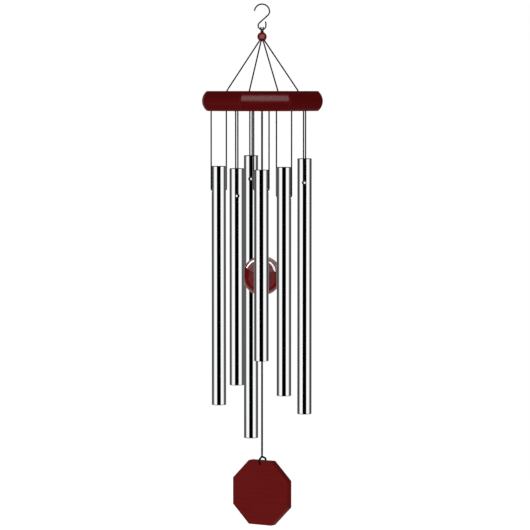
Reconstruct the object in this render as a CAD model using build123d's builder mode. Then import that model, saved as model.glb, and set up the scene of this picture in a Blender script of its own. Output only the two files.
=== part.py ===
# Hanging wind chime: a wire S-hook, a wooden bead, an octagonal wooden top plate on four
# cords, six metal tubes on strings of their own, a wooden striker ball and a wooden sail.
# Millimetres, +Z up, front towards -Y. The origin is the inner crown of the hook's upper
# bend, where the hook rests on whatever holds the chime.
import os
from math import acos, atan2, cos, degrees, hypot, radians, sin, sqrt

from build123d import *

os.makedirs("parts", exist_ok=True)

# Hook: one round wire with a wide upper bend, a slanting shank and a small lower eye
hook_wire = 2.0
hook_bend_radius = 10.35  # radii of the hook are to the wire's centreline
hook_tip_angle = 175.0  # open end of the upper bend, counted from +X
hook_shoulder_angle = 5.0  # where the upper bend tightens into its shoulder
hook_shoulder_radius = 7.0
hook_shank_lean = 48.0  # the shank's slope from the vertical
hook_eye_radius = 5.3
hook_eye_straight = 3.2  # straight wire beside the eye's open end
hook_eye_tip_radius = 3.5
hook_eye_tip_turn = 45.0
hook_end_round = 0.6

# Cords
string_diameter = 2.0
striker_cord_diameter = 2.7
edge_bend = 1.2 * string_diameter  # centreline radius where a string turns over an edge
string_clearance = 0.25  # between a string and the tube beside it
contact_gap = 0.05  # between a cord and what it presses on
bore_clearance = 0.4  # between a cord and its drilled hole, on the radius

# Hanger: two cords looped over the hook's eye and knotted above the bead
loop_clearance = 0.06 * string_diameter  # between a loop and the wire, where they come nearest
loop_spread = 0.75 * string_diameter  # half the distance between the two loops on the wire
loop_neck = (string_diameter + contact_gap) / 2  # the same between strands in the knot
hanger_knot_radius = 1.35 * string_diameter  # holds all four strands
loop_entry = 0.45  # height in the knot where the loops end, as a share of its radius
knot_seat_clearance = 0.15

# Bead
bead_diameter = 13.0
bead_drop = 5.85  # from the hanger knot's centre to the bead's centre
neck_strand_circle = 0.75 * string_diameter  # radius of the four strands in the bore
cord_start = 1.3 * string_diameter  # from the bead's centre to the upper ends of the four cords

# Top plate
plate_width = 163.4  # across the flats, at mid thickness
plate_thickness = 27.4
plate_bulge = 6.4  # how far the rounded edge stands out from the flat faces
plate_turn = 3.0  # the front facet's turn towards +X
plate_corner_round = 5.0
plate_edge_round = 1.0
cord_drop = 74.6  # from the bead's centre to the plate's top face
cord_circle_radius = 53.3
cord_azimuths = (-18.8, 68.8, 155.5, 246.8)  # from the front, positive towards +X
cord_bend = 2.0
plate_knot_radius = 2.2
plate_knot_height = 3.6
plate_knot_round = 1.2
knot_recess_clearance = 1.0

# Tubes: azimuth on the tube circle, azimuth of the front hole, length, drop of the top
# end below the plate, and drop of the hole below the top end
tube_diameter = 20.0
tube_wall = 1.5
tube_circle_radius = 60.7
tube_rim_round = 0.45 * tube_wall
tube_hole_diameter = 5.0
tube_hole_sink = 0.4 * string_diameter  # depth of the countersink, cut at 45 degrees
tube_table = (
    (-99.8, -68.0, 331.4, 76.2, 34.8),
    (-34.5, 8.0, 296.3, 77.8, 37.0),
    (194.8, -8.0, 396.8, 62.4, 32.4),
    (-0.8, 68.0, 260.7, 79.6, 29.3),
    (29.6, 66.0, 312.7, 76.0, 42.0),
    (104.2, -8.0, 355.0, 65.8, 33.0),
)

# Striker: a ball on the middle cord, which hangs from a pivot knot in the plate
ball_diameter = 54.6
ball_drop = 227.4  # from the plate's underside to the ball's centre
pivot_knot_radius = 0.7 * striker_cord_diameter
pivot_knot_rise = 0.3  # of that knot's centre above the plate's underside
ball_knot_radius = 2.6

# Wind sail: an octagonal board on a loop of cord
sail_width = 89.5  # across the flats
sail_thickness = 11.6
sail_turn = 32.5  # the face's turn from the front towards -X
sail_edge_round = 0.9
sail_corner_round = 1.5
sail_hole_diameter = 3.4
sail_hole_inset = 4.6  # from the sail's top edge to the hole's centre
sail_cord_length = 217.0  # between the knot under the ball and the knot above the sail
sail_knot_radius = 1.9
sail_knot_height = 3.4
sail_knot_round = 1.0
sail_knot_rise = 3.6  # of the knot's lower face above the sail's top edge
sail_loop_bulge = 3.0  # how far the loop's rear strand stands away from the sail
sail_loop_bend = 1.6
sail_loop_opening = 0.01  # keeps the route's two ends apart inside the knot


def around(azimuth, radius, z=0.0):
    """The point at a radius and an azimuth, which is 0 at the front and grows towards +X."""
    return Vector(radius * sin(radians(azimuth)), -radius * cos(radians(azimuth)), z)


def in_hook_plane(centre, radius, angle):
    """The point at a radius and an angle from +X about a centre, in the plane of the hook."""
    return centre + Vector(radius * cos(radians(angle)), 0, radius * sin(radians(angle)))


def hook_arc(centre, radius, start, end):
    ThreePointArc(*(in_hook_plane(centre, radius, a) for a in (start, (start + end) / 2, end)))


def cord_along(points, diameter, bends=None):
    """A cord of round section along straight runs joined by tangent arcs."""
    print("cord", diameter, "mm thick with bend radii", bends or "none: it is straight")
    with BuildPart() as cord:
        with BuildLine() as route:
            if bends:
                FilletPolyline(*points, radius=bends)
            else:
                Line(*points)
        with BuildSketch(Plane(origin=route.line @ 0, z_dir=route.line % 0)):
            Circle(diameter / 2)
        sweep(path=route.line)
    return cord


def barrel_knots(centres, radius, height, rounding):
    """Knots as short rounded barrels with flat ends, one at each centre."""
    with BuildPart() as knots:
        with Locations(*centres):
            Cylinder(radius, height)
        fillet(knots.edges().filter_by(GeomType.CIRCLE), rounding)
    return knots


def save(piece, name):
    piece.part.label = name
    export_step(piece.part, f"parts/{name}.step")


# Hook
bend_centre = Vector(0, 0, hook_wire / 2 - hook_bend_radius)
shoulder_centre = in_hook_plane(
    bend_centre, hook_bend_radius - hook_shoulder_radius, hook_shoulder_angle
)
shank_top = in_hook_plane(shoulder_centre, hook_shoulder_radius, -hook_shank_lean)
lean = radians(hook_shank_lean)
shank_length = (shank_top.X + hook_eye_radius * cos(lean)) / sin(lean)
shank_foot = shank_top - Vector(sin(lean), 0, cos(lean)) * shank_length
eye_centre = shank_foot + Vector(cos(lean), 0, -sin(lean)) * hook_eye_radius
eye_side = in_hook_plane(eye_centre, hook_eye_radius, 0)
eye_throat = eye_side + Vector(0, 0, hook_eye_straight)
with BuildPart() as s_hook:
    with BuildLine() as wire:
        hook_arc(bend_centre, hook_bend_radius, hook_tip_angle, hook_shoulder_angle)
        hook_arc(shoulder_centre, hook_shoulder_radius, hook_shoulder_angle, -hook_shank_lean)
        Line(shank_top, shank_foot)
        hook_arc(eye_centre, hook_eye_radius, 180 - hook_shank_lean, 360)
        Line(eye_side, eye_throat)
        tip_centre = eye_throat - Vector(hook_eye_tip_radius, 0, 0)
        hook_arc(tip_centre, hook_eye_tip_radius, 0, hook_eye_tip_turn)
    tip = in_hook_plane(bend_centre, hook_bend_radius, hook_tip_angle)
    with BuildSketch(Plane(origin=tip, z_dir=wire.line % 0)):
        Circle(hook_wire / 2)
    sweep(path=wire.line)
    ends = s_hook.faces().filter_by(GeomType.PLANE)
    fillet(ends.edges(), hook_end_round)
save(s_hook, "s_hook")

# Two loops of cord over the eye's wire, each leaning in to the knot below
eye_wire_z = eye_centre.Z - hook_eye_radius
loop_edge = loop_spread + string_diameter / 2
wire_rise = hook_eye_radius - sqrt(hook_eye_radius**2 - loop_edge**2)  # at the loops' edges
loop_radius = hook_wire / 2 + wire_rise + loop_clearance + string_diameter / 2
loop_neck_drop = loop_radius  # of the loops' ends, below the wire
hanger_knot_z = eye_wire_z - loop_neck_drop - loop_entry * hanger_knot_radius
neck_angle = degrees(
    acos(loop_radius / hypot(loop_neck, loop_neck_drop)) - atan2(loop_neck_drop, loop_neck)
)
loop_lean = atan2(loop_spread - loop_neck, loop_neck_drop)
with BuildPart() as hanger_loops:
    for side in (-1, 1):
        loop_plane = Plane(
            origin=(side * loop_spread, 0, eye_wire_z),
            x_dir=(0, 1, 0),
            z_dir=(cos(loop_lean), 0, -side * sin(loop_lean)),
        )
        neck = (loop_neck, -loop_neck_drop)
        touch = [
            (loop_radius * cos(radians(a)), loop_radius * sin(radians(a)))
            for a in (neck_angle, 90, 180 - neck_angle)
        ]
        place = [loop_plane.from_local_coords(p) for p in (neck, *touch)]
        far_neck = loop_plane.from_local_coords((-loop_neck, -loop_neck_drop))
        with BuildLine() as strand:
            Line(place[0], place[1])
            ThreePointArc(*place[1:])
            Line(place[3], far_neck)
        with BuildSketch(Plane(origin=place[0], z_dir=strand.line % 0)):
            Circle(string_diameter / 2)
        sweep(path=strand.line)
    with Locations((0, 0, hanger_knot_z)):
        Sphere(hanger_knot_radius, mode=Mode.SUBTRACT)
save(hanger_loops, "hanger_loops")

with BuildPart() as hanger_knot:
    with Locations((0, 0, hanger_knot_z)):
        Sphere(hanger_knot_radius)
save(hanger_knot, "hanger_knot")

# Four strands go down the bead's bore, and leave it by four slanting holes
bead_centre = Vector(0, 0, hanger_knot_z - bead_drop)
neck_top = hanger_knot_z - hanger_knot_radius - contact_gap
neck_bottom = bead_centre.Z - string_diameter / 2
with BuildPart() as neck_strands:
    with BuildSketch(Plane.XY.offset(neck_bottom)):
        with Locations(*(around(a, neck_strand_circle) for a in cord_azimuths)):
            Circle(string_diameter / 2)
    extrude(amount=neck_top - neck_bottom)
save(neck_strands, "neck_strands")

plate_top = bead_centre.Z - cord_drop
plate_bottom = plate_top - plate_thickness
cord_feet = [around(a, cord_circle_radius, plate_top) for a in cord_azimuths]
cord_ways = [(foot - bead_centre).normalized() for foot in cord_feet]
with BuildPart() as top_bead:
    with Locations(bead_centre):
        Sphere(bead_diameter / 2)
    with BuildSketch(Plane.XY.offset(neck_bottom - bore_clearance)):
        Circle(neck_strand_circle + string_diameter / 2 + bore_clearance / 2)
    extrude(amount=bead_diameter, mode=Mode.SUBTRACT)
    for way in cord_ways:
        with BuildSketch(Plane(origin=bead_centre, z_dir=way)):
            Circle(string_diameter / 2 + bore_clearance)
        extrude(amount=bead_diameter, mode=Mode.SUBTRACT)
    with Locations((0, 0, hanger_knot_z)):
        Sphere(hanger_knot_radius + knot_seat_clearance, mode=Mode.SUBTRACT)
save(top_bead, "top_bead")

# Four cords run straight to the plate, turn down its holes and end in knots underneath
plate_knot_z = plate_bottom + plate_knot_height / 2 + knot_recess_clearance
knot_recess_depth = plate_knot_height + 2 * knot_recess_clearance
for number, (foot, way) in enumerate(zip(cord_feet, cord_ways), 1):
    start = bead_centre + way * cord_start
    end = Vector(foot.X, foot.Y, plate_knot_z + plate_knot_height / 2)
    suspension_cord = cord_along((start, foot, end), string_diameter, [cord_bend])
    save(suspension_cord, f"suspension_cord_{number}")
cord_knots = barrel_knots(
    [(foot.X, foot.Y, plate_knot_z) for foot in cord_feet],
    plate_knot_radius,
    plate_knot_height,
    plate_knot_round,
)
save(cord_knots, "cord_knots")

# Where each tube's two strings pass through the plate
string_reach = tube_diameter / 2 + string_clearance + string_diameter / 2
tube_centres = [around(row[0], tube_circle_radius) for row in tube_table]
string_ways = [around(row[1], 1) for row in tube_table]
string_holes = [
    centre + way * side * string_reach
    for centre, way in zip(tube_centres, string_ways)
    for side in (-1, 1)
]
groove_width = string_diameter + 2 * bore_clearance
groove_depth = groove_width
bridge_z = plate_top - string_diameter / 2 - contact_gap

# Top plate: an octagon with a rounded edge, common to four bars of the same profile
flat_half = plate_width / 2 - plate_bulge
string_hole_radius = string_diameter / 2 + bore_clearance
knot_recess_radius = plate_knot_radius + knot_recess_clearance
centre_hole_radius = pivot_knot_radius + bore_clearance / 2
centre_knot_z = plate_top - plate_knot_height / 2 - knot_recess_clearance
with BuildPart() as top_plate:
    for k in range(4):
        turn = plate_turn + 45 * k
        bar_plane = Plane(
            origin=(0, 0, plate_top - plate_thickness / 2),
            x_dir=around(turn + 90, 1),
            z_dir=around(turn, 1),
        )
        half = plate_thickness / 2
        with BuildSketch(bar_plane):
            with BuildLine():
                Line((-flat_half, half), (flat_half, half))
                ThreePointArc((flat_half, half), (plate_width / 2, 0), (flat_half, -half))
                Line((flat_half, -half), (-flat_half, -half))
                ThreePointArc((-flat_half, -half), (-plate_width / 2, 0), (-flat_half, half))
            make_face()
        extrude(
            amount=plate_width, both=True, mode=Mode.INTERSECT if k else Mode.ADD
        )
    corners = top_plate.edges().filter_by(GeomType.LINE, reverse=True)
    fillet(corners, plate_corner_round)
    flats = top_plate.faces().filter_by(Axis.Z)
    fillet(flats.edges(), plate_edge_round)
    with BuildSketch(Plane.XY.offset(plate_top)):
        with Locations(*(Vector(p.X, p.Y) for p in string_holes)):
            Circle(string_hole_radius)
        with Locations(*(Vector(p.X, p.Y) for p in cord_feet)):
            Circle(string_hole_radius)
        Circle(centre_hole_radius)
    extrude(amount=-plate_thickness, mode=Mode.SUBTRACT)
    with BuildSketch(Plane.XY.offset(plate_bottom)):
        with Locations(*(Vector(p.X, p.Y) for p in cord_feet)):
            Circle(knot_recess_radius)
    extrude(amount=knot_recess_depth, mode=Mode.SUBTRACT)
    with BuildSketch(Plane.XY.offset(plate_top)):
        Circle(knot_recess_radius)
    extrude(amount=-knot_recess_depth, mode=Mode.SUBTRACT)
    with BuildSketch(Plane.XY.offset(plate_top)):
        for centre, row in zip(tube_centres, tube_table):
            with Locations(Location((centre.X, centre.Y), row[1] - 90)):
                Rectangle(2 * string_reach, groove_width)
    extrude(amount=-groove_depth, mode=Mode.SUBTRACT)
save(top_plate, "top_plate")

# Each tube's string crosses the plate in a groove, and its two ends reach the underside
socket_z = plate_bottom + string_diameter / 2 + contact_gap
for number, (centre, way) in enumerate(zip(tube_centres, string_ways), 1):
    left, right = (centre + way * side * string_reach for side in (-1, 1))
    lift, floor = Vector(0, 0, bridge_z), Vector(0, 0, socket_z)
    bridge = cord_along(
        (left + floor, left + lift, right + lift, right + floor),
        string_diameter,
        [edge_bend, edge_bend],
    )
    save(bridge, f"string_bridge_{number}")

# Tubes, and the U of string that each hangs on
crossing_rise = tube_hole_diameter / 2 - string_diameter / 2 - 2 * contact_gap
for number, (centre, way, row) in enumerate(zip(tube_centres, string_ways, tube_table), 1):
    length, top_drop, hole_drop = row[2:]
    tube_top = plate_bottom - top_drop
    hole_centre = Vector(centre.X, centre.Y, tube_top - hole_drop)
    with BuildPart() as tube:
        with BuildSketch(Plane(origin=(centre.X, centre.Y, tube_top))):
            Circle(tube_diameter / 2)
            Circle(tube_diameter / 2 - tube_wall, mode=Mode.SUBTRACT)
        extrude(amount=-length)
        fillet(tube.edges().filter_by(GeomType.CIRCLE), tube_rim_round)
        with BuildSketch(Plane(origin=hole_centre, z_dir=way)):
            Circle(tube_hole_diameter / 2)
        extrude(amount=tube_diameter, both=True, mode=Mode.SUBTRACT)
        for side in (-1, 1):
            # the cutter runs from inside the drilled hole to outside the tube
            outward = way * side
            cutter_middle = hole_centre + outward * (tube_diameter / 2 - tube_hole_sink / 2)
            with Locations(Plane(origin=cutter_middle, x_dir=(0, 0, 1), z_dir=outward)):
                Cone(
                    tube_hole_diameter / 2 - tube_hole_sink,
                    tube_hole_diameter / 2 + 2 * tube_hole_sink,
                    3 * tube_hole_sink,
                    mode=Mode.SUBTRACT,
                )
    save(tube, f"tube_{number}")

    crossing = Vector(0, 0, hole_centre.Z + crossing_rise)
    under_plate = Vector(0, 0, plate_bottom)
    left, right = (centre + way * side * string_reach for side in (-1, 1))
    route = (left + under_plate, left + crossing, right + crossing, right + under_plate)
    with BuildPart() as tube_string:
        add(cord_along(route, string_diameter, [edge_bend, edge_bend]).part)
        with Locations(route[0], route[-1]):
            Sphere(string_diameter / 2)
    save(tube_string, f"tube_string_{number}")

# The middle cord: anchored in the plate, and jointed at a small knot in its underside
pivot_z = plate_bottom + pivot_knot_rise
anchor_foot = pivot_z + pivot_knot_radius + contact_gap
with BuildPart() as striker_anchor:
    anchor_knot = barrel_knots(
        [(0, 0, centre_knot_z)], plate_knot_radius, plate_knot_height, plate_knot_round
    )
    add(anchor_knot.part)
    with BuildSketch(Plane.XY.offset(anchor_foot)):
        Circle(striker_cord_diameter / 2)
    extrude(amount=centre_knot_z - anchor_foot)
save(striker_anchor, "striker_anchor")

with BuildPart() as striker_pivot_knot:
    with Locations((0, 0, pivot_z)):
        Sphere(pivot_knot_radius)
save(striker_pivot_knot, "striker_pivot_knot")

ball_centre = Vector(0, 0, plate_bottom - ball_drop)
ball_knot_z = ball_centre.Z - ball_diameter / 2 - ball_knot_radius - 2 * contact_gap
cord_top = pivot_z - pivot_knot_radius - contact_gap
cord_foot = ball_knot_z + ball_knot_radius + contact_gap
striker_cord = cord_along(((0, 0, cord_top), (0, 0, cord_foot)), striker_cord_diameter)
save(striker_cord, "striker_cord")

with BuildPart() as striker_ball:
    with Locations(ball_centre):
        Sphere(ball_diameter / 2)
        Cylinder(
            striker_cord_diameter / 2 + bore_clearance, ball_diameter, mode=Mode.SUBTRACT
        )
save(striker_ball, "striker_ball")

with BuildPart() as ball_knot:
    with Locations((0, 0, ball_knot_z)):
        Sphere(ball_knot_radius)
save(ball_knot, "ball_knot")

# Sail cord, the knot that closes the sail's loop, the loop and the sail
sail_cord_top = ball_knot_z - ball_knot_radius - contact_gap
sail_cord_foot = sail_cord_top - sail_cord_length
sail_cord = cord_along(
    ((0, 0, sail_cord_top), (0, 0, sail_cord_foot)), striker_cord_diameter
)
save(sail_cord, "sail_cord")

sail_knot_z = sail_cord_foot - contact_gap - sail_knot_height / 2
sail_knot = barrel_knots(
    [(0, 0, sail_knot_z)], sail_knot_radius, sail_knot_height, sail_knot_round
)
save(sail_knot, "sail_knot")

sail_top = sail_knot_z - sail_knot_height / 2 - sail_knot_rise
sail_centre = Vector(0, 0, sail_top - sail_width / 2)
sail_hole = Vector(0, 0, sail_top - sail_hole_inset)
sail_face = around(-sail_turn, 1)
sail_plane = Plane(origin=sail_centre, x_dir=around(90 - sail_turn, 1), z_dir=sail_face)
with BuildPart() as wind_sail:
    with BuildSketch(sail_plane):
        RegularPolygon(sail_width / 2, 8, major_radius=False, rotation=22.5)
    extrude(amount=sail_thickness / 2, both=True)
    corners = wind_sail.edges().filter_by(lambda edge: abs((edge % 0).dot(sail_face)) > 0.99)
    fillet(corners, sail_corner_round)
    broad_faces = wind_sail.faces().filter_by(lambda f: abs(f.normal_at().dot(sail_face)) > 0.99)
    fillet(broad_faces.edges(), sail_edge_round)
    with BuildSketch(Plane(origin=sail_hole, z_dir=sail_face)):
        Circle(sail_hole_diameter / 2)
    extrude(amount=sail_thickness, both=True, mode=Mode.SUBTRACT)
save(wind_sail, "wind_sail")

# The loop leaves the knot, goes down the face, through the hole and up behind the sail
loop_cord_radius = striker_cord_diameter / 2
loop_out = sail_thickness / 2 + string_clearance + loop_cord_radius
loop_pass = sail_hole.Z + sail_hole_diameter / 2 - loop_cord_radius - contact_gap
loop_shoulder = sail_top + loop_cord_radius + 2 * string_clearance
loop_points = (
    (0, sail_knot_z),
    (loop_out, loop_shoulder),
    (loop_out, loop_pass),
    (-loop_out, loop_pass),
    (-loop_out - sail_loop_bulge, loop_shoulder),
    (0, sail_knot_z),
)
route = [sail_face * out + Vector(0, 0, z) for out, z in loop_points[:-1]]
route.append(sail_face * -sail_loop_opening + Vector(0, 0, sail_knot_z))
with BuildPart() as sail_loop:
    add(cord_along(route, striker_cord_diameter, [sail_loop_bend] * 4).part)
    with Locations((0, 0, sail_knot_z)):
        Cylinder(sail_knot_radius, sail_knot_height, mode=Mode.SUBTRACT)
save(sail_loop, "sail_loop")
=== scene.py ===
# Wind chime on a wire hook: six polished tubes, boards, ball and bead in dark red lacquer,
# and black braided cord. Metres, +Z up, and the front faces -Y.
from math import cos, pi, radians, sin, tan

import bpy
import numpy as np
from mathutils import Matrix, Vector


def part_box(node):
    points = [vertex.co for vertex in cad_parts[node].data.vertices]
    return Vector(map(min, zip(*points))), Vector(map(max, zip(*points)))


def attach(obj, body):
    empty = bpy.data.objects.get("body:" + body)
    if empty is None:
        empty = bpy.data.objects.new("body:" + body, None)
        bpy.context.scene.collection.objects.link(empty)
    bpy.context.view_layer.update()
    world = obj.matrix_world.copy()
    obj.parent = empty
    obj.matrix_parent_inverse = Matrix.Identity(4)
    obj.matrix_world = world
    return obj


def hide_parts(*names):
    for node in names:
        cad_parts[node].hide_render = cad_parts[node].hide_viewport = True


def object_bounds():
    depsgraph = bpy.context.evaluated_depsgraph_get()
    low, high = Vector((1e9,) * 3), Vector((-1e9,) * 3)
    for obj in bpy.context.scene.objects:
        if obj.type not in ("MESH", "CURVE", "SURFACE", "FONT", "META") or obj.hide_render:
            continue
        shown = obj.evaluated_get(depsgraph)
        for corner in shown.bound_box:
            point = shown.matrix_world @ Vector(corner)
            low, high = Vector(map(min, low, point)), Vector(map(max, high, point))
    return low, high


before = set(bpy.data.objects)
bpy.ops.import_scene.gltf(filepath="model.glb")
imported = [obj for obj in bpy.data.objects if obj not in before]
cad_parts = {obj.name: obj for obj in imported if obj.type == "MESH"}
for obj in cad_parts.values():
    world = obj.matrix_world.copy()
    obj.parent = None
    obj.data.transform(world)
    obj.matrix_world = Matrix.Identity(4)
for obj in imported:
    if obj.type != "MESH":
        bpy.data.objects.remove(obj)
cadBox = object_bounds()
mm = 0.001
print("frame loaded:", len(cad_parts), "nodes")


# Camera: a long lens at the height of the top plate, looking slightly down
camera = {"place": (0.0041, -4.14, -0.1197), "pitchDown": 3.30, "lens": 203.774, "sensor": 36.0}

cameraData = bpy.data.cameras.new("camera")
cameraData.sensor_width = camera["sensor"]
cameraData.lens = camera["lens"]
cameraData.clip_end = 50.0
cameraObject = bpy.data.objects.new("camera", cameraData)
cameraObject.location = camera["place"]
cameraObject.rotation_euler = (radians(90 - camera["pitchDown"]), 0, 0)
bpy.context.scene.collection.objects.link(cameraObject)
bpy.context.scene.camera = cameraObject
bpy.context.scene.view_settings.view_transform = "Standard"
print("camera set")


# Shape tools
def splinePath(name, controlPoints):
    # the smooth line of a NURBS spline of order 3 that starts and ends on its end points
    curve = bpy.data.curves.new(name, "CURVE")
    curve.dimensions = "3D"
    curve.resolution_u = 24
    spline = curve.splines.new("NURBS")
    spline.points.add(len(controlPoints) - 1)
    spline.points.foreach_set("co", np.hstack((controlPoints, np.ones((len(controlPoints), 1)))).ravel())
    spline.order_u = 3
    spline.use_endpoint_u = True
    route = bpy.data.objects.new(name, curve)
    line = bpy.data.meshes.new_from_object(route)
    path = np.empty(len(line.vertices) * 3)
    line.vertices.foreach_get("co", path)
    bpy.data.objects.remove(route)
    bpy.data.meshes.remove(line)
    bpy.data.curves.remove(curve)
    return path.reshape(-1, 3)


def evenPath(path, step):
    # the same line, with its points the same distance apart
    along = np.concatenate(([0], np.cumsum(np.linalg.norm(np.diff(path, axis=0), axis=1))))
    places = np.linspace(0, along[-1], max(2, round(along[-1] / step) + 1))
    return np.stack([np.interp(places, along, path[:, axis]) for axis in range(3)], axis=1)


def unit(vectors):
    return vectors / np.linalg.norm(vectors, axis=-1, keepdims=True)


braid = {
    "strandsAcross": 3,  # strands that cross the cord's face in each direction
    "strandAngle": 38,  # from the cord's line, in degrees
    "relief": 0.13,  # depth of the gaps between strands, as a share of the radius
    "columns": 18,
    "rowsPerStrand": 6,
}


def braidedCord(path, across, radius, closed=False):
    # A circle carried along the path. Its radius at angle a and distance s is the larger of
    # two sets of helical waves, cos(n(a + ks)) and cos(n(a - ks)), which cross in diamonds.
    count = braid["strandsAcross"]
    lead = 2 * pi * radius / tan(radians(braid["strandAngle"]))
    path = evenPath(path, lead / count / braid["rowsPerStrand"])
    if closed:
        forward = unit(np.roll(path[:-1], -1, axis=0) - np.roll(path[:-1], 1, axis=0))
        forward = np.vstack((forward, forward[:1]))
    else:
        forward = unit(np.gradient(path, axis=0))
    if callable(across):
        across = across(path)
    side = across - np.sum(across * forward, axis=1, keepdims=True) * forward
    side = unit(side)
    other = np.cross(forward, side)
    along = np.concatenate(([0], np.cumsum(np.linalg.norm(np.diff(path, axis=0), axis=1))))
    turns = max(1, round(along[-1] / lead))
    twist = (2 * pi * turns * along / along[-1])[:, None]
    angle = (2 * pi * np.arange(braid["columns"]) / braid["columns"])[None, :]
    waves = np.maximum(np.cos(count * (angle + twist)), np.cos(count * (angle - twist)))
    reach = radius * (1 + braid["relief"] * (waves - 1) / 2)
    turn = np.cos(angle)[..., None] * side[:, None] + np.sin(angle)[..., None] * other[:, None]
    points = path[:, None] + reach[..., None] * turn
    return points, along, closed


def meshPiece(name, grids, material):
    # Joins grids of points, each closed round its rings, into one skin. An open grid gets a
    # face over each end ring, and a closed one runs from its last ring back into its first.
    places, corners, starts, maps = [], [], [], []
    vertexCount = cornerCount = 0
    for points, along, closed in grids:
        rings, columns = points.shape[0] - int(closed), points.shape[1]
        spans = rings if closed else rings - 1
        ring, column = np.meshgrid(np.arange(spans), np.arange(columns), indexing="ij")
        nextRing, nextColumn = (ring + 1) % rings, (column + 1) % columns
        quads = np.stack(
            (
                ring * columns + column,
                ring * columns + nextColumn,
                nextRing * columns + nextColumn,
                nextRing * columns + column,
            ),
            axis=-1,
        ).reshape(-1, 4)
        u = np.stack((column, column + 1, column + 1, column), axis=-1) / columns
        v = np.stack((along[ring], along[ring], along[ring + 1], along[ring + 1]), axis=-1)
        places.append(points[:rings].reshape(-1, 3))
        corners.append(quads.ravel() + vertexCount)
        starts.append(np.arange(len(quads)) * 4 + cornerCount)
        maps.append(np.stack((u, v), axis=-1).reshape(-1, 2))
        cornerCount += quads.size
        if not closed:
            rim = np.arange(columns)
            for end in (rim[::-1], rim + (rings - 1) * columns):
                corners.append(end + vertexCount)
                starts.append(np.array([cornerCount]))
                maps.append(np.zeros((columns, 2)))
                cornerCount += columns
        vertexCount += rings * columns
    mesh = bpy.data.meshes.new(name)
    mesh.vertices.add(vertexCount)
    mesh.vertices.foreach_set("co", np.concatenate(places).ravel())
    mesh.loops.add(cornerCount)
    mesh.loops.foreach_set("vertex_index", np.concatenate(corners).astype(np.int32))
    allStarts = np.concatenate(starts).astype(np.int32)
    mesh.polygons.add(len(allStarts))
    mesh.polygons.foreach_set("loop_start", allStarts)
    mesh.polygons.foreach_set("use_smooth", np.ones(len(allStarts), bool))
    mesh.uv_layers.new(name="cordMap").uv.foreach_set("vector", np.concatenate(maps).ravel())
    mesh.update(calc_edges=True)
    mesh.validate()
    mesh.materials.append(material)
    piece = bpy.data.objects.new(name, mesh)
    bpy.context.scene.collection.objects.link(piece)
    return piece


# Material tools
def linearColour(hexCode):
    # sRGB to linear: a straight line up to 0.04045, then a power of 2.4
    share = np.array([int(hexCode[i:i + 2], 16) for i in (1, 3, 5)]) / 255
    linear = np.where(share <= 0.04045, share / 12.92, ((share + 0.055) / 1.055) ** 2.4)
    return (*linear.tolist(), 1.0)


def addNode(tree, kind, settings, inputs):
    # an input is a value, or the output of another node
    node = tree.nodes.new(kind)
    for setting, value in settings.items():
        setattr(node, setting, value)
    for socket, value in inputs.items():
        if isinstance(value, bpy.types.NodeSocket):
            tree.links.new(value, node.inputs[socket])
        else:
            node.inputs[socket].default_value = value
    return node


def newMaterial(name, finish):
    # finish is what is the same all over, on the shader's own sockets
    material = bpy.data.materials.new(name)
    material.use_nodes = True
    shader = material.node_tree.nodes["Principled BSDF"]
    for socket, value in finish.items():
        shader.inputs[socket].default_value = value
    return material, material.node_tree, shader


def perMetre(spacing):
    # a texture's scale for features that are this many millimetres apart
    return 1 / (spacing * mm)


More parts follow.
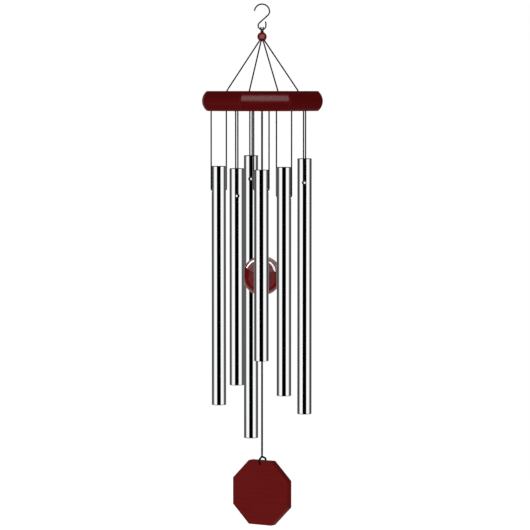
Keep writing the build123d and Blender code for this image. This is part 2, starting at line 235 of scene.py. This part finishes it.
# Tubes: drawn aluminium, buffed to a mirror outside, so it shows crisp dark and light bands
# with only faint lines along the tube. The inside of the tube and the sawn ends are rough, and their colour
# is painted near black: painted shade inside the tube, and a painted dark line at each end for a dark rim
# reflection.
def polishedAluminium():
    look = {
        "colour": "#F3F4F5", "bore": "#18181A", "lineSpacing": 0.7, "lineLength": 60, "hazeSize": 22,
        "boreShare": 0.46, "endShare": 0.0022,  # of the tube's width and of its length
        "smoothest": 0.015, "haziest": 0.04, "dullRoughness": 0.7, "relief": 0.02, "reliefStrength": 0.005,
    }
    material, tree, shader = newMaterial("polishedAluminium", {"Metallic": 1.0})
    coordinates = addNode(tree, "ShaderNodeTexCoord", {}, {})
    place = coordinates.outputs["Object"]
    stretch = (perMetre(look["lineSpacing"]), perMetre(look["lineSpacing"]), perMetre(look["lineLength"]))
    drawn = addNode(tree, "ShaderNodeMapping", {}, {"Vector": place, "Scale": stretch}).outputs[0]
    lines = addNode(tree, "ShaderNodeTexNoise", {}, {"Vector": drawn, "Scale": 1.0, "Detail": 1.0})
    haze = addNode(
        tree, "ShaderNodeTexNoise", {}, {"Vector": place, "Scale": perMetre(look["hazeSize"]), "Detail": 2.0}
    )
    polish = addNode(
        tree, "ShaderNodeMapRange", {},
        {
            "Value": haze.outputs[0], "From Min": 0.35, "From Max": 0.75,
            "To Min": look["smoothest"], "To Max": look["haziest"],
        },
    )
    # the share of the width from the axis, and the share of the length from the middle
    centred = addNode(
        tree, "ShaderNodeVectorMath", {"operation": "SUBTRACT"},
        {0: coordinates.outputs["Generated"], 1: (0.5, 0.5, 0.5)},
    ).outputs[0]
    flat = addNode(tree, "ShaderNodeVectorMath", {"operation": "MULTIPLY"}, {0: centred, 1: (1, 1, 0)})
    fromAxis = addNode(tree, "ShaderNodeVectorMath", {"operation": "LENGTH"}, {0: flat.outputs[0]})
    inside = addNode(
        tree, "ShaderNodeMath", {"operation": "LESS_THAN"},
        {0: fromAxis.outputs["Value"], 1: look["boreShare"]},
    )
    upward = addNode(tree, "ShaderNodeSeparateXYZ", {}, {"Vector": centred})
    fromMiddle = addNode(tree, "ShaderNodeMath", {"operation": "ABSOLUTE"}, {0: upward.outputs["Z"]})
    ends = addNode(
        tree, "ShaderNodeMath", {"operation": "GREATER_THAN"},
        {0: fromMiddle.outputs[0], 1: 0.5 - look["endShare"]},
    )
    shadeAndMatt = addNode(
        tree, "ShaderNodeMath", {"operation": "MAXIMUM"}, {0: inside.outputs[0], 1: ends.outputs[0]}
    )
    # painted shade: inside the tube and at its ends the colour turns near black, where the roughness turns
    # matt
    colour = addNode(
        tree, "ShaderNodeMix", {"data_type": "RGBA"},
        {0: shadeAndMatt.outputs[0], 6: linearColour(look["colour"]), 7: linearColour(look["bore"])},
    )
    roughness = addNode(
        tree, "ShaderNodeMix", {}, {0: shadeAndMatt.outputs[0], 2: polish.outputs[0], 3: look["dullRoughness"]}
    )
    bump = addNode(
        tree, "ShaderNodeBump", {},
        {"Height": lines.outputs[0], "Strength": look["reliefStrength"], "Distance": look["relief"] * mm},
    )
    tree.links.new(colour.outputs[2], shader.inputs["Base Color"])
    tree.links.new(roughness.outputs[0], shader.inputs["Roughness"])
    tree.links.new(bump.outputs[0], shader.inputs["Normal"])
    return material


# Hook: bright drawn steel wire, greyer than the tubes, with fine lines round its bends
def drawnSteel():
    look = {
        "colour": "#5C5E61", "grain": 0.35, "smoothest": 0.16, "roughest": 0.36,
        "relief": 0.02, "reliefStrength": 0.1,
    }
    material, tree, shader = newMaterial("drawnSteel", {"Metallic": 1.0})
    shader.inputs["Base Color"].default_value = linearColour(look["colour"])
    place = addNode(tree, "ShaderNodeTexCoord", {}, {}).outputs["Object"]
    grain = addNode(
        tree, "ShaderNodeTexNoise", {}, {"Vector": place, "Scale": perMetre(look["grain"]), "Detail": 3.0}
    )
    roughness = addNode(
        tree, "ShaderNodeMapRange", {},
        {"Value": grain.outputs[0], "To Min": look["smoothest"], "To Max": look["roughest"]},
    )
    bump = addNode(
        tree, "ShaderNodeBump", {},
        {"Height": grain.outputs[0], "Strength": look["reliefStrength"], "Distance": look["relief"] * mm},
    )
    tree.links.new(roughness.outputs[0], shader.inputs["Roughness"])
    tree.links.new(bump.outputs[0], shader.inputs["Normal"])
    return material


# Wood under dark red lacquer: the grain shows as slightly darker streaks and pores, and
# the clear coat over it gives soft reflections
def redLacquer(name, look):
    finish = {
        "Coat Weight": look["coat"], "Coat Roughness": look["coatRoughness"],
        "Specular IOR Level": look["sheen"], "IOR": look["ior"],
    }
    material, tree, shader = newMaterial(name, finish)
    place = addNode(tree, "ShaderNodeTexCoord", {}, {}).outputs["Object"]
    turned = addNode(
        tree, "ShaderNodeMapping", {"vector_type": "TEXTURE"},
        {"Vector": place, "Rotation": (0, 0, radians(look["grainTurn"]))},
    ).outputs[0]
    across, lengthwise = perMetre(look["grainWidth"]), perMetre(look["grainLength"])
    streaks = addNode(
        tree, "ShaderNodeMapping", {}, {"Vector": turned, "Scale": (lengthwise, across, across)}
    ).outputs[0]
    grain = addNode(
        tree, "ShaderNodeTexNoise", {}, {"Vector": streaks, "Scale": 1.0, "Detail": 4.0, "Distortion": 0.4}
    )
    colour = addNode(tree, "ShaderNodeValToRGB", {}, {"Fac": grain.outputs[0]})
    streak, ground = colour.color_ramp.elements
    streak.position, ground.position = look["grainRange"]
    streak.color = linearColour(look["dark"])
    ground.color = linearColour(look["light"])
    roughness = addNode(
        tree, "ShaderNodeMapRange", {},
        {"Value": grain.outputs[0], "To Min": look["poreRoughness"], "To Max": look["woodRoughness"]},
    )
    bump = addNode(
        tree, "ShaderNodeBump", {},
        {"Height": grain.outputs[0], "Strength": look["reliefStrength"], "Distance": look["relief"] * mm},
    )
    tree.links.new(colour.outputs[0], shader.inputs["Base Color"])
    tree.links.new(roughness.outputs[0], shader.inputs["Roughness"])
    tree.links.new(bump.outputs[0], shader.inputs["Normal"])
    return material


# Cord: black braided polyester, soft and nearly matt, with single threads along each strand and painted
# shade between them
def braidedPolyester():
    look = {
        "thread": "#101012", "paintedGapShade": "#020203", "threadWidth": 0.12, "gapRoughness": 0.75,
        "threadRoughness": 0.5, "threadRange": (0.35, 0.7), "relief": 0.05, "reliefStrength": 0.3,
    }
    material, tree, shader = newMaterial(
        "braidedPolyester", {"Sheen Weight": 0.04, "Sheen Roughness": 0.4, "Specular IOR Level": 0.15}
    )
    place = addNode(tree, "ShaderNodeTexCoord", {}, {}).outputs["Object"]
    threads = addNode(
        tree, "ShaderNodeTexNoise", {},
        {"Vector": place, "Scale": perMetre(look["threadWidth"]), "Detail": 2.0},
    )
    # noise mixes the thread colour with a near-black painted shade that stands for the shade between the
    # threads
    colour = addNode(tree, "ShaderNodeValToRGB", {}, {"Fac": threads.outputs[0]})
    paintedGapShade, thread = colour.color_ramp.elements
    paintedGapShade.position, thread.position = look["threadRange"]
    paintedGapShade.color = linearColour(look["paintedGapShade"])
    thread.color = linearColour(look["thread"])
    roughness = addNode(
        tree, "ShaderNodeMapRange", {},
        {"Value": threads.outputs[0], "To Min": look["gapRoughness"], "To Max": look["threadRoughness"]},
    )
    bump = addNode(
        tree, "ShaderNodeBump", {},
        {"Height": threads.outputs[0], "Strength": look["reliefStrength"], "Distance": look["relief"] * mm},
    )
    tree.links.new(colour.outputs[0], shader.inputs["Base Color"])
    tree.links.new(roughness.outputs[0], shader.inputs["Roughness"])
    tree.links.new(bump.outputs[0], shader.inputs["Normal"])
    return material


boardLook = {
    "dark": "#470102", "light": "#500304", "grainTurn": 0, "grainWidth": 1.6, "grainLength": 45,
    "grainRange": (0.36, 0.64), "coat": 0.14, "coatRoughness": 0.25, "sheen": 0.02, "ior": 1.2,
    "poreRoughness": 0.6, "woodRoughness": 0.45, "relief": 0.05, "reliefStrength": 0.12,
}
sailLook = {
    **boardLook, "dark": "#5A0C0C", "light": "#5F0F0F", "coat": 0.08, "coatRoughness": 0.3,
    "grainTurn": -32.5,
}
ballLook = {**boardLook, "dark": "#640306", "light": "#74080B", "coat": 0.5, "coatRoughness": 0.08}
beadLook = {
    **boardLook, "dark": "#5C0507", "light": "#6C0A0D", "coat": 0.5, "coatRoughness": 0.12,
    "grainWidth": 0.8,
}
tubeMetal = polishedAluminium()
wire = drawnSteel()
plateWood = redLacquer("plateLacquer", boardLook)
sailWood = redLacquer("sailLacquer", sailLook)
ballWood = redLacquer("ballLacquer", ballLook)
beadWood = redLacquer("beadLacquer", beadLook)
cordFibre = braidedPolyester()
print("materials made")


# The hard pieces keep their own meshes and get their finishes
def finishNode(node, material):
    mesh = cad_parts[node].data
    mesh.materials.clear()
    mesh.materials.append(material)


finishNode("s_hook", wire)
finishNode("top_bead", beadWood)
finishNode("top_plate", plateWood)
finishNode("striker_ball", ballWood)
finishNode("wind_sail", sailWood)
tubes = [f"tube_{number}" for number in range(1, 7)]
for tube in tubes:
    finishNode(tube, tubeMetal)
for node in ("striker_ball", *tubes):
    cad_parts[node].visible_glossy = False  # so the tubes show the studio, not each other
print("hard pieces finished")


# Cords
cordSizes = {
    "string": 2.0 * mm,
    "striker": 2.7 * mm,
    "edgeBend": 2.4 * mm,  # where a string turns through a tube's wall or over the plate
    "stringReach": 11.25 * mm,  # from a tube's axis to its strings
    "holeAzimuths": (-68.0, 8.0, -8.0, 68.0, 66.0, -8.0),  # from the front, towards +X
    "cordAzimuths": (-18.8, 68.8, 155.5, 246.8),
    "cordCircle": 53.3 * mm,
    "cordStart": 2.6 * mm,  # from the bead's centre
    "cordRunIn": 0.06,  # share of a cord's slope that stays straight above the plate
    "plateDip": 5.0 * mm,  # down into the plate, where a suspension cord is upright again
    "neckCircle": 1.5 * mm,  # of the four strands in the bead's bore
}
stringRadius = cordSizes["string"] / 2
strikerRadius = cordSizes["striker"] / 2


def azimuthWay(azimuth):
    return np.array((sin(radians(azimuth)), -cos(radians(azimuth)), 0.0))


def middle(node):
    low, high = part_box(node)
    return np.array((low + high) / 2)


def at(place, z):
    return np.array((place[0], place[1], z))


def cordPiece(name, grids, body, nodes):
    piece = meshPiece(name, grids, cordFibre)
    piece.visible_glossy = False
    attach(piece, body)
    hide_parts(*nodes)
    return piece


def stringRoute(left, right, foot, crossing):
    # a U between two upright legs: foot is the height of its ends, crossing that of its middle
    bend = 2 * cordSizes["edgeBend"]
    inward = unit(right - left) * bend
    corner = crossing + np.sign(foot - crossing) * bend
    return splinePath(
        "stringRoute",
        np.array((
            at(left, foot), at(left, corner), at(left, crossing), at(left + inward, crossing),
            at(right - inward, crossing), at(right, crossing), at(right, corner), at(right, foot),
        )),
    )


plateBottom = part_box("top_plate")[0].z
for number, azimuth in enumerate(cordSizes["holeAzimuths"], 1):
    centre = middle(f"tube_{number}")
    way = azimuthWay(azimuth)
    across = np.array((-way[1], way[0], 0.0))
    left, right = (centre + way * side * cordSizes["stringReach"] for side in (-1, 1))
    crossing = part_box(f"tube_string_{number}")[0].z + stringRadius
    low = stringRoute(left, right, plateBottom, crossing)
    grids = [braidedCord(low, across, stringRadius)]
    string = cordPiece(f"tubeString{number}", grids, f"string_{number}", [f"tube_string_{number}"])
    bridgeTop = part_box(f"string_bridge_{number}")[1].z - stringRadius
    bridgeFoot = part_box(f"string_bridge_{number}")[0].z
    over = stringRoute(left, right, bridgeFoot, bridgeTop)
    grids = [braidedCord(over, across, stringRadius)]
    cordPiece(f"stringBridge{number}", grids, "crown", [f"string_bridge_{number}"])

beadCentre = middle("top_bead")
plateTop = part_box("top_plate")[1].z
for number, azimuth in enumerate(cordSizes["cordAzimuths"], 1):
    way = azimuthWay(azimuth)
    across = np.array((-way[1], way[0], 0.0))
    foot = at(way * cordSizes["cordCircle"], plateTop)
    start = beadCentre + unit(foot - beadCentre) * cordSizes["cordStart"]
    end = at(foot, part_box(f"suspension_cord_{number}")[0].z)
    runIn = (foot - start) * cordSizes["cordRunIn"]
    dip = at(foot, plateTop - cordSizes["plateDip"])
    path = splinePath("suspensionRoute", np.array((start, foot - runIn, foot, dip, end)))
    grids = [braidedCord(path, across, stringRadius)]
    cord = cordPiece(f"suspensionCord{number}", grids, "crown", [f"suspension_cord_{number}"])


def uprightRoute(place, top, foot):
    return splinePath("uprightRoute", np.array([at(place, z) for z in (top, (top + foot) / 2, foot)]))


front = np.array((0.0, -1.0, 0.0))
origin = np.zeros(3)
middleCords = (("strikerCord", "striker_cord", "striker_line"), ("sailCord", "sail_cord", "sail_line"))
for name, node, body in middleCords:
    low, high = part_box(node)
    path = uprightRoute(origin, high.z, low.z)
    cord = cordPiece(name, [braidedCord(path, front, strikerRadius)], body, [node])
print("cords laid")


# Loops, strands and knots
knotSizes = {
    "points": 400,  # along a knot's line, before its rings are spaced evenly
    "coreShare": 0.58,  # of a knot's reach, for the ring that its turns go round
    "hangerCord": 1.0 * mm,  # radius of the cord, where each knot pulls it tight
    "pivotCord": 0.7 * mm,
    "ballCord": 1.0 * mm,
    "anchorCord": 0.85 * mm,
    "sailCord": 0.85 * mm,
    "plateReach": 2.2 * mm,  # from the knot's axis
    "anchorReach": 2.2 * mm,
    "anchorHeight": 3.6 * mm,
    "anchorTail": 1.0 * mm,  # from the anchor's top down to where its cord starts
}


def knotGrid(centre, reach, height, radius):
    # A tight overhand knot as a (2, 3) torus knot: the cord goes twice round the axis while
    # it goes three times round the ring's own core.
    t = np.linspace(0, 2 * pi, knotSizes["points"])
    core = (reach - radius) * knotSizes["coreShare"]
    minor = (reach - radius) - core
    rise = height / 2 - radius
    outward = np.stack((np.cos(2 * t), np.sin(2 * t), 0 * t), axis=1)
    upward = np.array((0.0, 0.0, 1.0))
    path = centre + (core + minor * np.cos(3 * t))[:, None] * outward
    path = path + (rise * np.sin(3 * t))[:, None] * upward
    fromCore = lambda line: line - centre - core * unit((line - centre) * (1, 1, 0))
    return braidedCord(path, fromCore, radius, closed=True)


knots = {
    "hangerKnot": ("hanger_knot", "hanger", knotSizes["hangerCord"]),
    "pivotKnot": ("striker_pivot_knot", "striker_knot", knotSizes["pivotCord"]),
    "ballKnot": ("ball_knot", "ball_stop", knotSizes["ballCord"]),
}
for name, (node, body, cordRadius) in knots.items():
    low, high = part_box(node)
    reach, height = (high.x - low.x) / 2, high.z - low.z
    cordPiece(name, [knotGrid(middle(node), reach, height, cordRadius)], body, [node])

low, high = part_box("cord_knots")
plateKnots = []
for azimuth in cordSizes["cordAzimuths"]:
    place = at(azimuthWay(azimuth) * cordSizes["cordCircle"], (low.z + high.z) / 2)
    plateKnots.append(knotGrid(place, knotSizes["plateReach"], high.z - low.z, stringRadius))
cordPiece("plateKnots", plateKnots, "crown", ["cord_knots"])

low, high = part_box("striker_anchor")
anchorHeight = knotSizes["anchorHeight"]
place = at(beadCentre, high.z - anchorHeight / 2)
anchorKnot = knotGrid(place, knotSizes["anchorReach"], anchorHeight, knotSizes["anchorCord"])
anchorStem = braidedCord(uprightRoute(origin, high.z - knotSizes["anchorTail"], low.z), front, strikerRadius)
cordPiece("strikerAnchor", [anchorKnot, anchorStem], "crown", ["striker_anchor"])

low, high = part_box("neck_strands")
neckGrids = []
for azimuth in cordSizes["cordAzimuths"]:
    place = azimuthWay(azimuth) * cordSizes["neckCircle"]
    neckGrids.append(braidedCord(np.array((at(place, high.z), at(place, low.z))), front, stringRadius))
cordPiece("neckStrands", neckGrids, "neck", ["neck_strands"])

# two loops over the wire of the hook's eye, each leaning in to the knot
loops = {
    "side": ((1.0, -2.6), (2.65, -1.1), (2.9, 1.1), (1.65, 2.85)),  # mm from the wire's centre
    "wireRadius": 1.0 * mm,
    "fromMiddle": 1.5 * mm,  # of each loop, beside and over the wire
    "lean": 0.47 * mm,  # towards the middle, at the loop's lower ends
}
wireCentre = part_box("s_hook")[0].z + loops["wireRadius"]
loopShape = np.array(loops["side"] + tuple((-y, z) for y, z in reversed(loops["side"]))) * mm
lean = loops["lean"] * np.minimum(0, loopShape[:, 1]) / -loopShape[:, 1].min()
loopGrids = []
for side in (-1, 1):
    sideways = side * (loops["fromMiddle"] + lean)
    points = np.stack((sideways, loopShape[:, 0], wireCentre + loopShape[:, 1]), axis=1)
    path = splinePath("hangerLoop", points)
    loopGrids.append(braidedCord(path, np.array((1.0, 0.0, 0.0)), stringRadius))
cordPiece("hangerLoops", loopGrids, "hanger", ["hanger_loops"])

# the sail's loop goes down its face, through the hole and up behind it
sail = {
    "turn": 32.5,  # of its face from the front, in degrees
    "thickness": 11.6 * mm,
    "holeInset": 4.6 * mm,
    "holeRadius": 1.7 * mm,
    "faceGap": 0.25 * mm,
    "holeGap": 0.05 * mm,
    "edgeGap": 0.5 * mm,
    "corner": 3.2 * mm,  # from each corner of the loop's route to the points beside it
    "slack": 1.0 * mm,  # behind the sail, where the loop stands off it
    "bulge": 3.0 * mm,  # the same, over the sail's upper edge
}
sailWay = azimuthWay(-sail["turn"])
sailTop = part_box("wind_sail")[1].z
out = sail["thickness"] / 2 + sail["faceGap"] + strikerRadius
through = sailTop - sail["holeInset"] + sail["holeRadius"] - strikerRadius - sail["holeGap"]
shoulder = sailTop + strikerRadius + sail["edgeGap"]
corner = sail["corner"]
low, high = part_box("sail_knot")
knotMiddle = (low.z + high.z) / 2
loopPoints = (
    (0, knotMiddle), (out, shoulder), (out, through + corner), (out, through), (out - corner, through),
    (corner - out, through), (-out, through), (-out - sail["slack"], through + corner),
    (-out - sail["bulge"], shoulder), (0, knotMiddle),
)
path = splinePath("sailLoop", np.array([sailWay * y + (0, 0, z) for y, z in loopPoints]))
sailAcross = np.array((-sailWay[1], sailWay[0], 0.0))
cordPiece("sailLoop", [braidedCord(path, sailAcross, strikerRadius)], "sail_hanger", ["sail_loop"])
knot = knotGrid(middle("sail_knot"), (high.x - low.x) / 2, high.z - low.z, knotSizes["sailCord"])
cordPiece("sailKnot", [knot], "sail_hanger", ["sail_knot"])
print("knots and loops tied")


# Studio: a pale floor, white walls, and dark and light stretches that the gloss reflects
studio = {
    "floorDrop": 0.45,  # below the sail
    "floorRadius": 4.0,
    "floorSides": 96,
    "floorColour": "#F4F4F2",
    "floorGlow": 0.6,
    "plainLight": 0.55,  # of the walls on what isn't glossy
    "overhead": 0.2,
    "overheadRise": (0.12, 0.7),  # upward share of a way, where the walls turn into overhead
    "lowRise": (-0.14, -0.2),  # the same, where they turn into the low bands
    "horizonAngles": (0, 29, 33, 72, 84, 96, 146, 152, 180),  # from the camera's side, in degrees
    "horizonLight": (0.0, 0.0, 1.05, 1.05, 0.5, 0.07, 0.05, 0.45, 0.45),
    "lowAngles": (0, 29, 33, 84, 96, 124, 130, 180),  # the same, lower than the horizon
    "lowLight": (0.02, 0.02, 0.85, 0.85, 0.1, 0.1, 0.85, 0.85),
}


def bandRamp(tree, share, angles, lights):
    bands = addNode(tree, "ShaderNodeValToRGB", {}, {"Fac": share})
    while len(bands.color_ramp.elements) < len(angles):
        bands.color_ramp.elements.new(0.5)
    for element, angle, light in zip(bands.color_ramp.elements, angles, lights):
        element.position = angle / 180
        element.color = (light, light, light, 1)
    return bands.outputs[0]


def buildWorld():
    world = bpy.data.worlds.new("studio")
    bpy.context.scene.world = world
    world.use_nodes = True
    tree = world.node_tree
    tree.nodes.clear()
    way = addNode(tree, "ShaderNodeTexCoord", {}, {}).outputs["Generated"]
    parts = addNode(tree, "ShaderNodeSeparateXYZ", {}, {"Vector": way})
    towards = addNode(tree, "ShaderNodeMath", {"operation": "MULTIPLY"}, {0: parts.outputs["Y"], 1: -1.0})
    angle = addNode(
        tree, "ShaderNodeMath", {"operation": "ARCTAN2"}, {0: parts.outputs["X"], 1: towards.outputs[0]}
    )
    apart = addNode(tree, "ShaderNodeMath", {"operation": "ABSOLUTE"}, {0: angle.outputs[0]})
    share = addNode(tree, "ShaderNodeMath", {"operation": "DIVIDE"}, {0: apart.outputs[0], 1: pi})
    bands = bandRamp(tree, share.outputs[0], studio["horizonAngles"], studio["horizonLight"])
    lowBands = bandRamp(tree, share.outputs[0], studio["lowAngles"], studio["lowLight"])
    height = addNode(
        tree, "ShaderNodeMapRange", {"interpolation_type": "SMOOTHSTEP"},
        {
            "Value": parts.outputs["Z"],
            "From Min": studio["overheadRise"][0], "From Max": studio["overheadRise"][1],
        },
    )
    above = addNode(
        tree, "ShaderNodeMix", {"data_type": "RGBA"},
        {0: height.outputs[0], 6: bands, 7: (studio["overhead"],) * 3 + (1,)},
    )
    depth = addNode(
        tree, "ShaderNodeMapRange", {"interpolation_type": "SMOOTHSTEP"},
        {"Value": parts.outputs["Z"], "From Min": studio["lowRise"][0], "From Max": studio["lowRise"][1]},
    )
    gloss = addNode(
        tree, "ShaderNodeMix", {"data_type": "RGBA"},
        {0: depth.outputs[0], 6: above.outputs[2], 7: lowBands},
    )
    ray = addNode(tree, "ShaderNodeLightPath", {}, {})
    glossy = addNode(tree, "ShaderNodeBackground", {}, {"Color": gloss.outputs[2], "Strength": 1.0})
    plain = addNode(
        tree, "ShaderNodeBackground", {}, {"Color": (1, 1, 1, 1), "Strength": studio["plainLight"]}
    )
    backdrop = addNode(tree, "ShaderNodeBackground", {}, {"Color": (1, 1, 1, 1), "Strength": 1.0})
    light = addNode(
        tree, "ShaderNodeMixShader", {},
        {0: ray.outputs["Is Glossy Ray"], 1: plain.outputs[0], 2: glossy.outputs[0]},
    )
    seen = addNode(
        tree, "ShaderNodeMixShader", {},
        {0: ray.outputs["Is Camera Ray"], 1: light.outputs[0], 2: backdrop.outputs[0]},
    )
    addNode(tree, "ShaderNodeOutputWorld", {}, {"Surface": seen.outputs[0]})


def addSoftbox(name, look):
    # a rectangle that faces its target, with its width along the given direction. A softbox
    # that only gloss shows draws highlights without lighting the rest.
    outward = (Vector(look["place"]) - Vector(look["target"])).normalized()
    across = Vector(look["along"]) - Vector(look["along"]).project(outward)
    across.normalize()
    data = bpy.data.lights.new(name, "AREA")
    data.shape = "RECTANGLE"
    data.size, data.size_y = look["size"]
    data.energy = look["radiance"] * pi * look["size"][0] * look["size"][1]
    lamp = bpy.data.objects.new(name, data)
    lamp.matrix_world = Matrix((across, outward.cross(across), outward)).transposed().to_4x4()
    lamp.location = look["place"]
    lamp.visible_glossy = look["glossy"]
    lamp.visible_diffuse = not look["glossy"]
    lamp.visible_camera = False
    if "shownBy" in look:
        receivers = bpy.data.collections.new(name + "Receivers")
        receivers.objects.link(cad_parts[look["shownBy"]])
        lamp.light_linking.receiver_collection = receivers
    bpy.context.scene.collection.objects.link(lamp)


def buildFloor():
    material, tree, shader = newMaterial("floorPaint", {"Roughness": 0.8, "Specular IOR Level": 0.1})
    shader.inputs["Base Color"].default_value = linearColour(studio["floorColour"])
    shader.inputs["Emission Color"].default_value = (1, 1, 1, 1)
    shader.inputs["Emission Strength"].default_value = studio["floorGlow"]
    floorPlace = (0, 0, cadBox[0].z - studio["floorDrop"])
    bpy.ops.mesh.primitive_circle_add(
        vertices=studio["floorSides"], radius=studio["floorRadius"], fill_type="NGON", location=floorPlace
    )
    floor = bpy.context.object
    floor.name = "floor"
    floor.data.materials.append(material)
    floor.visible_glossy = False


buildWorld()
buildFloor()
softboxes = {
    "keySoftbox": {
        "place": (-0.6, -2.2, 0.5), "target": (0.0, 0.0, -0.36), "along": (1, 0, 0), "size": (1.4, 1.4),
        "radiance": 3.6, "glossy": False,
    },
    "frontSoftbox": {
        "place": (0.06, -0.8, 0.3), "target": (0.06, 0.0, 0.3), "along": (1, 0, 0), "size": (0.4, 0.8),
        "radiance": 13.0, "glossy": True, "shownBy": "top_plate",
    },
    "beadSoftbox": {
        "place": (0.0, -0.35, 0.0), "target": (0.0, 0.0, -0.044), "along": (1, 0, 0), "size": (1.1, 1.0),
        "radiance": 3.6, "glossy": True, "shownBy": "top_bead",
    },
    "ballSoftbox": {
        "place": (0.0, -0.3, 0.4), "target": (0.0, -0.3, -0.373), "along": (1, 0, 0), "size": (3.5, 3.5),
        "radiance": 2.2, "glossy": True, "shownBy": "striker_ball",
    },
    "leftStrip": {
        "place": (-0.579, 0.502, 0.203), "target": (0.0, 0.0, -0.373), "along": (0.398, -0.008, 0.408),
        "size": (0.57, 0.22), "radiance": 30, "glossy": True, "shownBy": "striker_ball",
    },
    "rightStrip": {
        "place": (0.694, 0.092, 0.219), "target": (0.0, 0.0, -0.373), "along": (0.498, -0.316, -0.535),
        "size": (0.8, 0.22), "radiance": 30, "glossy": True, "shownBy": "striker_ball",
    },
}
for name, look in softboxes.items():
    addSoftbox(name, look)
print("studio lit")
